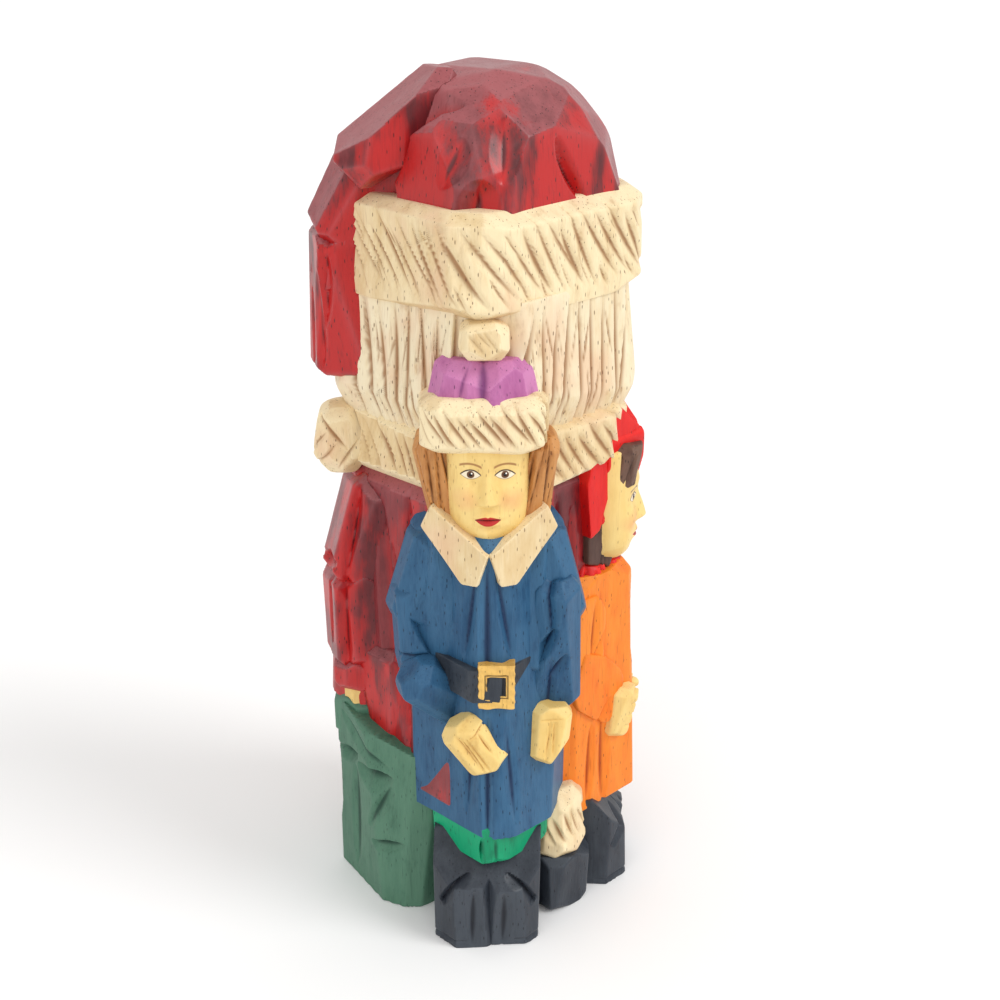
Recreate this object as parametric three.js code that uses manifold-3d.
// A folk-carved santa group, whittled from one square block that stands corner-on.
// The photographed side faces -Y, santa faces +Y, and +Z is up. Millimetres throughout.
import * as THREE from 'three';
import { mergeVertices } from 'three/addons/utils/BufferGeometryUtils.js';
import Module from 'manifold-3d';

const wasm = await Module();
wasm.setup();

// Driving dimensions
const HEIGHT = 258;
const HALF_DIAGONAL = 49;

// Heights of santa's parts above the floor
const BRIM_LOW = 197;
const BRIM_HIGH = 225;
const HAIR_LOW = 155;
const COLLAR_LOW = 141.5;
const COLLAR_HIGH = 164;
const COAT_HEM = 38;
const COAT_TOP = 147;
const POMPOM_HEIGHT = 151;
const SACK_TOP = 66;
const BOOT_TOP = 19;
const CUFF_TOP = 41;

// Heights of the two children
const BLUE_BOOT_TOP = 34;
const BLUE_SKIRT_TOP = 42;
const BLUE_COAT_HEM = 39;
const BLUE_COAT_TOP = 137;
const BLUE_CHIN = 133.5;
const BLUE_FUR_LOW = 163;
const BLUE_FUR_HIGH = 177;
const BLUE_HAT_TOP = 187;
const BLUE_BELT = 89;
const ORANGE_HEM = 28;
const ORANGE_COAT_TOP = 106;
const ORANGE_SCARF = 106;
const ORANGE_CHIN = 111;

const CORNER_ON = 45;
const BLOCK_SIZE = 400;
const SMALLEST_EDGE = 0.02;
const UP = new THREE.Vector3(0, 0, 1);
const radians = THREE.MathUtils.degToRad;

// A closed three.js geometry as a solid that can be joined and cut
function solidOf(geometry) {
  geometry.deleteAttribute('normal');
  geometry.deleteAttribute('uv');
  const merged = mergeVertices(geometry.index ? geometry.toNonIndexed() : geometry, 1e-4);
  return new wasm.Manifold(new wasm.Mesh({
    numProp: 3,
    vertProperties: new Float32Array(merged.attributes.position.array),
    triVerts: new Uint32Array(merged.index.array),
  }));
}

// A repeatable uneven number between -1 and 1
function uneven(count) {
  const wave = Math.sin(count * 12.9898 + 4.1414) * 43758.5453;
  return 2 * (wave - Math.floor(wave)) - 1;
}

// Unit vector from an azimuth (0 is +X, 90 is +Y) and an elevation, in degrees
function heading(azimuth, elevation = 0) {
  const flat = Math.cos(radians(elevation));
  return new THREE.Vector3(
    flat * Math.cos(radians(azimuth)),
    flat * Math.sin(radians(azimuth)),
    Math.sin(radians(elevation)),
  );
}

// Facet rings: [elevation, number of facets, azimuth of the first]
const COLUMN = [[0, 9, 0], [42, 6, 10], [90, 1, 0], [-42, 6, 30], [-90, 1, 0]];
const SLAB = [[0, 8, 0], [45, 5, 10], [90, 1, 0], [-45, 5, 30], [-90, 1, 0]];
const BALL = [[6, 8, 0], [40, 6, 20], [72, 3, 0], [-34, 6, 5], [-68, 3, 30]];

// One whittled form. Its smooth shape is a box of half sizes core, with its edges rounded by
// round = [sideways, upright]; each knife facet is tangent to that smooth shape.
class Form {
  constructor({
    at, core, round, spin = 0, turn = 0, tilt = [0, 0], rings = COLUMN, seed = 1, rough = 5, flats = [],
  }) {
    this.at = new THREE.Vector3(...at);
    this.core = core;
    this.round = round;
    this.rotation = new THREE.Matrix4().makeRotationX(radians(spin))
      .premultiply(new THREE.Matrix4().makeRotationZ(radians(turn)))
      .premultiply(new THREE.Matrix4().makeRotationX(radians(tilt[0])))
      .premultiply(new THREE.Matrix4().makeRotationY(radians(tilt[1])));
    this.planes = [];
    let count = seed * 100;
    for (const [elevation, facets, first] of rings) {
      for (let i = 0; i < facets; i += 1) {
        count += 1;
        const azimuth = first + (360 * i) / facets + rough * uneven(count);
        const rise = Math.abs(elevation) === 90 ? elevation : elevation + rough * uneven(count + 0.5);
        this.addPlane(heading(azimuth, rise));
      }
    }
    for (const [azimuth, elevation, distance] of flats) {
      const normal = heading(azimuth, elevation);
      this.planes.push({ normal, distance: normal.dot(this.at) + distance });
    }
  }

  // A facet tangent to the smooth shape, with its normal given in the form's own axes
  addPlane(normal) {
    const sideways = Math.hypot(normal.x, normal.y);
    const reach = this.core[0] * Math.abs(normal.x) + this.core[1] * Math.abs(normal.y)
      + this.core[2] * Math.abs(normal.z)
      + Math.hypot(this.round[0] * sideways, this.round[1] * normal.z);
    const outward = normal.clone().applyMatrix4(this.rotation);
    this.planes.push({ normal: outward, distance: outward.dot(this.at) + reach });
  }

  // Where a ray from an inner point leaves the form, and the facet that it leaves by
  surface(origin, direction) {
    let nearest = Infinity;
    let normal = direction;
    for (const plane of this.planes) {
      const slope = plane.normal.dot(direction);
      if (slope > 1e-6) {
        const reach = (plane.distance - plane.normal.dot(origin)) / slope;
        if (reach < nearest) {
          nearest = reach;
          normal = plane.normal;
        }
      }
    }
    return { point: origin.clone().addScaledVector(direction, nearest), normal };
  }

  solid() {
    const largest = Math.hypot(...this.core) + Math.max(...this.round) + 5;
    const blank = new THREE.BoxGeometry(2 * largest, 2 * largest, 2 * largest);
    blank.translate(...this.at);
    let carved = solidOf(blank);
    for (const { normal, distance } of this.planes) {
      const waste = new THREE.BoxGeometry(BLOCK_SIZE, BLOCK_SIZE, BLOCK_SIZE);
      const depth = distance - normal.dot(this.at) + BLOCK_SIZE / 2;
      waste.applyQuaternion(new THREE.Quaternion().setFromUnitVectors(UP, normal));
      waste.translate(...this.at.clone().addScaledVector(normal, depth));
      carved = carved.subtract(solidOf(waste));
    }
    return carved;
  }
}

const forms = [];
const cuts = [];

function form(settings) {
  const made = new Form({ seed: forms.length + 1, ...settings });
  forms.push(made);
  return made;
}

// A knife chip: a long eight-sided spindle, half sunk into the surface at a point
function chip(point, normal, along, length, width, depth) {
  const lengthwise = along.clone().addScaledVector(normal, -along.dot(normal)).normalize();
  const across = new THREE.Vector3().crossVectors(normal, lengthwise);
  const spindle = new THREE.OctahedronGeometry(1, 0);
  spindle.scale(length / 2, width / 2, depth);
  spindle.applyMatrix4(new THREE.Matrix4().makeBasis(lengthwise, across, normal));
  spindle.translate(...point);
  cuts.push(solidOf(spindle));
}

// A chip on a form, at an azimuth and height seen from the form's own axis; slant is the
// chip's angle from level, in degrees, rising towards greater azimuth
function gouge(target, azimuth, height, slant, length, width, depth) {
  const origin = new THREE.Vector3(target.at.x, target.at.y, height);
  const { point, normal } = target.surface(origin, heading(azimuth));
  const level = new THREE.Vector3().crossVectors(UP, normal).normalize();
  const rising = new THREE.Vector3().crossVectors(normal, level);
  const along = level.multiplyScalar(Math.cos(radians(slant)))
    .addScaledVector(rising, Math.sin(radians(slant)));
  chip(point, normal, along, length, width, depth);
}

// Chips repeated round a form, a little uneven in place, slant and length
function gougesRound(target, { from, to, count, height, slant, length, width, depth, seed = 1 }) {
  for (let i = 0; i < count; i += 1) {
    const share = count > 1 ? i / (count - 1) : 0.5;
    const shake = uneven(seed * 37 + i);
    const other = uneven(seed * 53 + i + 0.5);
    gouge(target, from + (to - from) * share + 2 * shake, height + other, slant + 6 * shake,
      length * (1 + 0.15 * other), width, depth);
  }
}

const FLOOR = (height) => [0, -90, height];

// Santa's head, seen from behind: hat, folded tail with its pompom, fur brim, hair and collar
function santaHead() {
  const hat = form({
    at: [0, 0, 216],
    turn: CORNER_ON,
    core: [14, 14, 0],
    round: [20.5, HEIGHT - 216],
    rings: [[8, 12, 0], [27, 10, 10], [44, 9, 20], [60, 7, 0], [75, 5, 10], [90, 1, 0]],
    rough: 6,
    flats: [FLOOR(0)],
  });
  form({
    at: [-28.5, -4, 228.5],
    tilt: [0, -52],
    core: [12, 6, 0],
    round: [6.5, 8],
    rings: SLAB,
  });
  const tail = form({
    at: [-37.8, -3, 196],
    tilt: [0, 7],
    core: [2.2, 7.5, 20],
    round: [3.8, 5],
    rings: COLUMN,
  });
  const pompom = form({
    at: [-42.8, -3, POMPOM_HEIGHT],
    core: [1, 2, 2],
    round: [6.2, 8.6],
    rings: BALL,
  });
  const brim = form({
    at: [0, 0, (BRIM_LOW + BRIM_HIGH) / 2],
    turn: CORNER_ON,
    core: [24.5, 24.5, (BRIM_HIGH - BRIM_LOW) / 2 - 3.5],
    round: [9.5, 3.5],
    rings: [[0, 12, 0], [60, 12, 0], [90, 1, 0], [-60, 10, 10], [-90, 1, 0]],
    rough: 4,
  });
  const hair = form({
    at: [0, 0, 179],
    turn: CORNER_ON,
    core: [21.5, 21.5, 179 - HAIR_LOW - 11],
    round: [11.5, 11],
    rings: [[0, 12, 0], [-36, 9, 0], [90, 1, 0], [-90, 1, 0]],
    flats: [[-90, 0, 38], [90, 0, 30]],
  });
  const collar = form({
    at: [0, 0, (COLLAR_LOW + COLLAR_HIGH) / 2],
    turn: CORNER_ON,
    core: [21, 21, (COLLAR_HIGH - COLLAR_LOW) / 2 - 5],
    round: [11.5, 5],
    rings: [[0, 12, 0], [56, 8, 0], [90, 1, 0], [-56, 8, 0], [-90, 1, 0]],
    flats: [[-90, 0, 39]],
  });

  // The fold between hat and tail, the pinch half way down it, and the big knife cuts in the hat
  gouge(tail, -55, 214, 78, 40, 6, 5);
  gouge(tail, -120, 196, 25, 22, 7, 4);
  gouge(tail, -60, 186, 84, 34, 3.5, 2);
  gouge(hat, -128, 236, 62, 30, 5, 4);
  gouge(hat, -92, 225, 8, 15, 9, 5);
  gouge(hat, -52, 235, -48, 19, 5, 4);
  gouge(hat, -20, 238, 60, 18, 4, 3);
  gouge(hat, 50, 232, 70, 24, 5, 3.5);
  gouge(hat, 130, 236, 55, 26, 5, 3.5);
  gougesRound(pompom, {
    from: -170, to: -20, count: 4, height: POMPOM_HEIGHT, slant: 60, length: 15, width: 2.6, depth: 1.5,
  });
  gougesRound(brim, {
    from: -150, to: 155, count: 25, height: 211, slant: -52, length: 21, width: 3.2, depth: 1.8,
  });
  gougesRound(hair, {
    from: -156, to: 48, count: 14, height: 179, slant: 88, length: 38, width: 4.4, depth: 2.2, seed: 2,
  });
  gougesRound(hair, {
    from: 132, to: 158, count: 3, height: 179, slant: 88, length: 38, width: 4.4, depth: 2.2, seed: 3,
  });
  for (const [from, to, count] of [[-150, -118, 4], [-58, -30, 3], [22, 50, 2], [130, 160, 2]]) {
    gougesRound(collar, {
      from, to, count, height: 152, slant: -58, length: 18, width: 3.2, depth: 1.8, seed: 4,
    });
  }
}

// Santa's hidden front: face, moustache, beard, and the fur edge of the coat
function santaFront() {
  const face = form({
    at: [0, 21, 184],
    turn: CORNER_ON,
    core: [9.5, 9.5, 14],
    round: [7.5, 6],
    rings: [[0, 8, 22.5], [90, 1, 0], [-90, 1, 0]],
  });
  form({
    at: [0, 42, 181.5],
    tilt: [12, 0],
    core: [1.2, 1.4, 5],
    round: [3.2, 4],
    rings: SLAB,
  });
  for (const side of [-1, 1]) {
    form({
      at: [8.5 * side, 40.8, 171],
      tilt: [0, 16 * side],
      core: [5.4, 1.6, 0],
      round: [5, 4.4],
      rings: SLAB,
    });
    form({
      at: [9.5 * side, 36.4, 194],
      turn: -CORNER_ON * side,
      core: [3.6, 0.4, 0],
      round: [2.6, 2.4],
      rings: SLAB,
    });
    gouge(face, 90 + 22 * side, 189, 4, 8, 4, 2);
  }
  const beard = form({
    at: [0, 23.4, 151],
    turn: CORNER_ON,
    core: [11, 11, 8],
    round: [7.4, 24],
    rings: [[0, 10, 18], [-35, 8, 22.5], [-65, 4, 45], [40, 8, 0], [90, 1, 0]],
  });
  form({
    at: [0, 37.8, 84],
    turn: CORNER_ON,
    core: [3, 3, 42],
    round: [2.5, 3],
    rings: [[0, 8, 22.5], [90, 1, 0], [-90, 1, 0]],
  });
  gougesRound(beard, {
    from: 35, to: 145, count: 8, height: 150, slant: 90, length: 42, width: 4.4, depth: 2.4, seed: 5,
  });
}

// Santa's coat, both sleeves with their hands, and the boots under the hem
function santaBody() {
  form({
    at: [0, 0, 112],
    turn: CORNER_ON,
    core: [17, 17, 108],
    round: [3, 3],
    rings: [[0, 4, 0], [90, 1, 0], [-90, 1, 0]],
    rough: 0,
    flats: [FLOOR(112)],
  });
  const coat = form({
    at: [0, 0, (COAT_HEM + COAT_TOP) / 2],
    turn: CORNER_ON,
    core: [21, 21, 40],
    round: [10.5, 14.5],
    rings: [[0, 14, 0], [40, 10, 0], [90, 1, 0], [-60, 6, 0], [-90, 1, 0]],
  });
  const upperSleeve = form({
    at: [-34.6, 1, 121],
    tilt: [0, 12],
    core: [3, 7, 12],
    round: [6, 7],
  });
  const lowerSleeve = form({
    at: [-38.4, 0, 93],
    core: [3, 7, 11],
    round: [5.5, 6],
  });
  form({ at: [-39.6, -2, 74], core: [2, 6, 2], round: [4.6, 3], rings: SLAB });
  form({ at: [-38.6, -3, 67], core: [1, 3, 2], round: [4.5, 5], rings: SLAB });
  const rightSleeve = form({
    at: [25, 24, 112],
    tilt: [-4, 3],
    turn: CORNER_ON,
    core: [3, 5, 20],
    round: [6.5, 8],
  });
  form({
    at: [20.5, 30, 87],
    turn: -CORNER_ON,
    core: [8, 2, 2],
    round: [5.5, 6.5],
    rings: SLAB,
  });
  form({ at: [12.4, 36.4, 88], turn: -CORNER_ON, core: [1.6, 3.4, 4.4], round: [2.4, 4], rings: SLAB });
  form({ at: [8.6, 41, 88.5], turn: -CORNER_ON, core: [2.6, 0.8, 2.4], round: [3.6, 4.6], rings: BALL });

  gouge(coat, -166, 96, 88, 66, 5, 3.4);
  gouge(coat, -152, 104, 86, 60, 6, 3.6);
  gouge(coat, -140, 88, 92, 62, 6, 3.6);
  gouge(coat, -128, 100, 87, 58, 5, 3);
  gouge(coat, -54, 108, 88, 48, 4, 2.6);
  gouge(coat, -42, 112, 92, 44, 4, 2.6);
  gouge(coat, 28, 90, 88, 70, 6, 3.4);
  gouge(coat, 114, 92, 90, 70, 6, 3.4);
  gouge(coat, 138, 90, 88, 72, 6, 3.4);
  gouge(coat, 156, 94, 92, 60, 5, 3);
  gouge(upperSleeve, -150, 111, 8, 16, 7, 4);
  gouge(upperSleeve, -110, 124, 80, 24, 4, 2);
  gouge(lowerSleeve, -140, 101, -12, 14, 6, 3);
  gouge(lowerSleeve, -100, 92, 86, 22, 4, 2);
  gouge(lowerSleeve, 100, 92, 86, 22, 4, 2);
  gouge(rightSleeve, 45, 100, 10, 14, 6, 3);
  gouge(rightSleeve, 20, 116, 84, 30, 4, 2);

  for (const [x, y] of [[19.5, -20], [-11, 33], [11, 33]]) {
    form({
      at: [x, y, BOOT_TOP / 2],
      turn: CORNER_ON,
      core: [4.5, 4.5, 6],
      round: [4.5, 4],
      flats: [FLOOR(BOOT_TOP / 2)],
      rings: SLAB,
    });
    const fur = form({
      at: [x, y, (BOOT_TOP + CUFF_TOP) / 2 - 1],
      turn: CORNER_ON,
      core: [4, 4, 7],
      round: [5.5, 5],
      rings: SLAB,
    });
    const outward = THREE.MathUtils.radToDeg(Math.atan2(y, x));
    gougesRound(fur, {
      from: outward - 40,
      to: outward + 40,
      count: 3,
      height: (BOOT_TOP + CUFF_TOP) / 2,
      slant: -58,
      length: 13,
      width: 2.8,
      depth: 1.5,
      seed: 6,
    });
  }
}

// The toy sack at the left corner, its neck drawn in under santa's hand
function sack() {
  const bag = form({
    at: [-25.3, -5.6, SACK_TOP / 2],
    turn: CORNER_ON,
    core: [8, 14.5, SACK_TOP / 2 - 9],
    round: [6, 9],
    rings: [[0, 10, 0], [32, 8, 10], [60, 5, 0], [90, 1, 0]],
    flats: [FLOOR(SACK_TOP / 2)],
  });
  gouge(bag, -165, 46, 10, 16, 6, 3.4);
  gouge(bag, -118, 45, 6, 14, 5, 3);
  gouge(bag, -100, 44, -60, 18, 5, 3.5);
  gouge(bag, -112, 25, 55, 12, 4, 2.4);
  gouge(bag, 170, 30, 84, 34, 5, 2.6);
  gouge(bag, -150, 20, 88, 34, 4, 2);
  gouge(bag, 130, 34, 80, 36, 5, 3);
}

// Pair of boots for a child: toes towards the block's corner at the given azimuth
function childBoots(azimuth, distance, spread, top, reach) {
  for (const side of [-1, 1]) {
    const sideways = heading(azimuth + 90).multiplyScalar(side * spread);
    const middle = heading(azimuth).multiplyScalar(distance).add(sideways);
    const boot = form({
      at: [middle.x, middle.y, top / 2],
      turn: azimuth,
      core: [reach - 4, spread - 4, top / 2 - 2],
      round: [3.6, 3],
      rings: [[0, 8, 0], [35, 5, 0], [90, 1, 0]],
      flats: [FLOOR(top / 2), [azimuth - side * 45, 0, reach - 1.5], [azimuth, 42, reach - 1]],
    });
    gouge(boot, azimuth + side * 24, 20, 0, 9, 3.6, 2);
  }
}

// The child in the blue coat, on the corner towards the viewer
function blueChild() {
  const middle = 0.8;
  childBoots(-90, 34, 7, BLUE_BOOT_TOP, 13);
  form({
    at: [middle, -29.5, (BLUE_BOOT_TOP + BLUE_SKIRT_TOP) / 2 - 2],
    turn: CORNER_ON,
    core: [8.6, 8.6, 3],
    round: [4.5, 3],
    rings: SLAB,
  });
  const coat = form({
    at: [middle, -24.5, (BLUE_COAT_HEM + BLUE_COAT_TOP) / 2],
    turn: CORNER_ON,
    core: [12.2, 12.2, 40],
    round: [5, 9],
    rings: [[0, 12, 0], [34, 8, 22.5], [90, 1, 0], [-90, 1, 0]],
    rough: 3,
  });
  for (const side of [-1, 1]) {
    const shoulder = form({
      at: [middle + 17.8 * side, -27.5, 117],
      tilt: [0, -8 * side],
      core: [2, 2.5, 13],
      round: [5.8, 6],
    });
    gouge(shoulder, side < 0 ? -100 : -80, 112, 60 * side, 12, 4, 3);
  }
  const leftSleeve = form({
    at: [middle - 20.8, -28.5, 103],
    tilt: [-8, -4],
    core: [1.4, 2, 9],
    round: [5.4, 6],
  });
  form({
    at: [middle - 14.5, -36.5, 82.5],
    tilt: [22, -38],
    core: [1, 1, 7],
    round: [5.2, 5],
  });
  const rightSleeve = form({
    at: [middle + 19.5, -30, 97],
    tilt: [8, 6],
    core: [1, 2, 17],
    round: [5.4, 6],
  });
  form({ at: [middle - 4.6, -43.2, 71], tilt: [0, -20], core: [1.5, 1, 3], round: [4.2, 5], rings: BALL });
  form({ at: [middle + 14.6, -36.5, 70], tilt: [0, 6], core: [1, 1, 3.4], round: [4.4, 5], rings: BALL });
  gouge(leftSleeve, -95, 104, 60, 12, 5, 3);
  gouge(rightSleeve, -80, 102, -62, 12, 5, 3);

  // Belt with its square buckle
  form({
    at: [middle, -24.5, BLUE_BELT],
    turn: CORNER_ON,
    core: [12.6, 12.6, 4],
    round: [5.4, 1],
    rings: [[0, 8, 0], [90, 1, 0], [-90, 1, 0]],
  });
  form({
    at: [middle + 2.4, -46, BLUE_BELT + 1],
    tilt: [0, 0],
    core: [4.6, 1.6, 6.2],
    round: [0.8, 0.8],
    rings: [[0, 4, 0], [90, 1, 0], [-90, 1, 0]],
    rough: 0,
  });
  gouge(coat, -90, 119, 90, 26, 4, 3);
  gouge(coat, -90, 56, 90, 30, 4, 3);
  gouge(coat, -112, 62, 88, 30, 4, 2);
  gouge(coat, -68, 60, 92, 30, 4, 2);

  // Head with a plain rounded face, hair at both sides, and the collar's two points
  const head = form({
    at: [middle, -34, 150],
    core: [5.5, 4, 9],
    round: [6.5, 7.5],
    rings: [[0, 12, 0], [-36, 8, 22.5], [-66, 4, 0], [90, 1, 0]],
  });
  form({ at: [middle, -45, 150], tilt: [-12, 0], core: [0.4, 0.8, 2.6], round: [1.8, 2], rings: SLAB });
  for (const side of [-1, 1]) {
    gouge(head, -90 + 26 * side, BLUE_CHIN + 21, 0, 5, 3, 1);
  }
  gouge(head, -90, BLUE_CHIN + 8, 0, 7, 1.6, 0.8);
  for (const side of [-1, 1]) {
    form({
      at: [middle + 12.6 * side, -32.5, 150],
      core: [0.8, 3.5, 10],
      round: [3.6, 5],
    });
    form({
      at: [middle + 7.5 * side, -40.5, 134],
      spin: CORNER_ON,
      turn: -90 + 28 * side,
      core: [3, 6, 6],
      round: [1.5, 1.5],
      rings: [[0, 4, 0], [45, 4, 0], [90, 1, 0], [-45, 4, 0], [-90, 1, 0]],
      rough: 2,
    });
  }
  const fur = form({
    at: [middle, -31.5, (BLUE_FUR_LOW + BLUE_FUR_HIGH) / 2],
    turn: CORNER_ON,
    core: [7, 7, 3.4],
    round: [7.6, 3.8],
    rings: [[0, 12, 0], [55, 6, 0], [90, 1, 0], [-55, 6, 0], [-90, 1, 0]],
  });
  const hat = form({
    at: [middle, -31.6, BLUE_FUR_HIGH - 3],
    turn: CORNER_ON,
    core: [4.6, 4.6, 1],
    round: [8.6, BLUE_HAT_TOP - BLUE_FUR_HIGH + 2],
    rings: [[8, 8, 22.5], [42, 7, 12], [90, 1, 0], [-90, 1, 0]],
  });
  const pompom = form({
    at: [middle - 0.5, -42, 192.2],
    core: [0.8, 0.8, 0.5],
    round: [5.8, 4.9],
    rings: BALL,
  });
  gouge(hat, -90, 181, 80, 9, 4, 2);
  gouge(pompom, -90, 192.5, 50, 8, 2.4, 1.2);
  gougesRound(fur, {
    from: -160, to: -20, count: 9, height: 170, slant: -56, length: 12, width: 2.6, depth: 1.3, seed: 7,
  });
}

// The child in the orange coat, on the right corner, facing +X
function orangeChild() {
  childBoots(0, 32, 7.4, ORANGE_HEM + 2, 13);
  const coat = form({
    at: [25.6, 0, (ORANGE_HEM + ORANGE_COAT_TOP) / 2],
    turn: CORNER_ON,
    core: [10, 10, 32],
    round: [5.4, 7],
    rings: [[0, 12, 0], [34, 8, 22.5], [90, 1, 0], [-90, 1, 0]],
    rough: 3,
  });
  for (const side of [-1, 1]) {
    const sleeve = form({
      at: [29.5, 16.5 * side, 80],
      tilt: [4 * side, 4],
      core: [3, 1, 16],
      round: [5, 6],
    });
    form({
      at: [36, 10.5 * side, 61],
      turn: -CORNER_ON * side,
      core: [6, 0.5, 2.5],
      round: [4.6, 4.6],
      rings: SLAB,
    });
    form({
      at: [42, 4 * side, 58.5],
      turn: -CORNER_ON * side,
      core: [2, 0.8, 4],
      round: [3.4, 4],
      rings: SLAB,
    });
    gouge(sleeve, -90 * -side, 70, -20, 11, 4, 2.6);
  }
  gouge(coat, 0, 88, 90, 30, 4, 3);
  gouge(coat, -40, 44, 90, 24, 5, 2.6);
  gouge(coat, 40, 44, 90, 24, 5, 2.6);

  const scarf = form({
    at: [33, 0, ORANGE_SCARF],
    core: [5, 6, 2.4],
    round: [7.6, 4],
    rings: [[0, 10, 0], [40, 8, 10], [90, 1, 0], [-40, 8, 0], [-90, 1, 0]],
  });
  gougesRound(scarf, {
    from: -110, to: 110, count: 9, height: ORANGE_SCARF, slant: 84, length: 9, width: 2, depth: 1.1, seed: 8,
  });

  // Head with a plain rounded face, hair behind the cheek, and the hat pulled to the nape
  const head = form({
    at: [35.5, 0, ORANGE_CHIN + 19],
    core: [4, 4, 12],
    round: [7, 7],
    rings: [[0, 12, 0], [-36, 8, 22.5], [-66, 4, 0], [90, 1, 0]],
  });
  for (const side of [-1, 1]) {
    gouge(head, 26 * side, ORANGE_CHIN + 22, 0, 5, 3, 1);
  }
  gouge(head, 0, ORANGE_CHIN + 8, 0, 7, 1.6, 0.8);
  form({ at: [45.8, 0, ORANGE_CHIN + 18], tilt: [0, -12], core: [0.6, 0.4, 2.4], round: [1.8, 2], rings: SLAB });
  form({
    at: [32.5, 0, 124],
    core: [2, 9, 11],
    round: [6, 6],
  });
  const hat = form({
    at: [34.6, 0, 147],
    tilt: [0, -10],
    core: [5, 7, 5],
    round: [6.6, 9.6],
    rings: [[0, 10, 18], [34, 8, 0], [64, 4, 20], [-30, 8, 10], [-90, 1, 0]],
  });
  const nape = form({
    at: [30, 0, 136],
    tilt: [0, 16],
    core: [2, 10, 9],
    round: [6, 6],
  });
  gouge(hat, -70, 156, 30, 14, 4, 2.4);
  gouge(nape, -110, 138, 70, 18, 4, 2);
}

santaHead();
santaFront();
santaBody();
sack();
blueChild();
orangeChild();

// Chips that lie wholly inside the wood leave no mark: only the outer body is kept
const joined = wasm.Manifold.union(forms.map((part) => part.solid()));
const bodies = joined.subtract(wasm.Manifold.union(cuts)).simplify(SMALLEST_EDGE).decompose();
const carving = bodies.reduce((best, body) => (body.volume() > best.volume() ? body : best));

const mesh = carving.getMesh();
const geometry = new THREE.BufferGeometry();
geometry.setAttribute('position', new THREE.BufferAttribute(new Float32Array(mesh.vertProperties), 3));
geometry.setIndex(new THREE.BufferAttribute(new Uint32Array(mesh.triVerts), 1));
geometry.computeVertexNormals();

const paintedWood = new THREE.MeshStandardMaterial({ color: 0x7a1518, roughness: 0.5, metalness: 0 });
const santaCarving = new THREE.Mesh(geometry, paintedWood);
santaCarving.name = 'santa_carving';

const group = new THREE.Group();
group.add(santaCarving);

export default group;
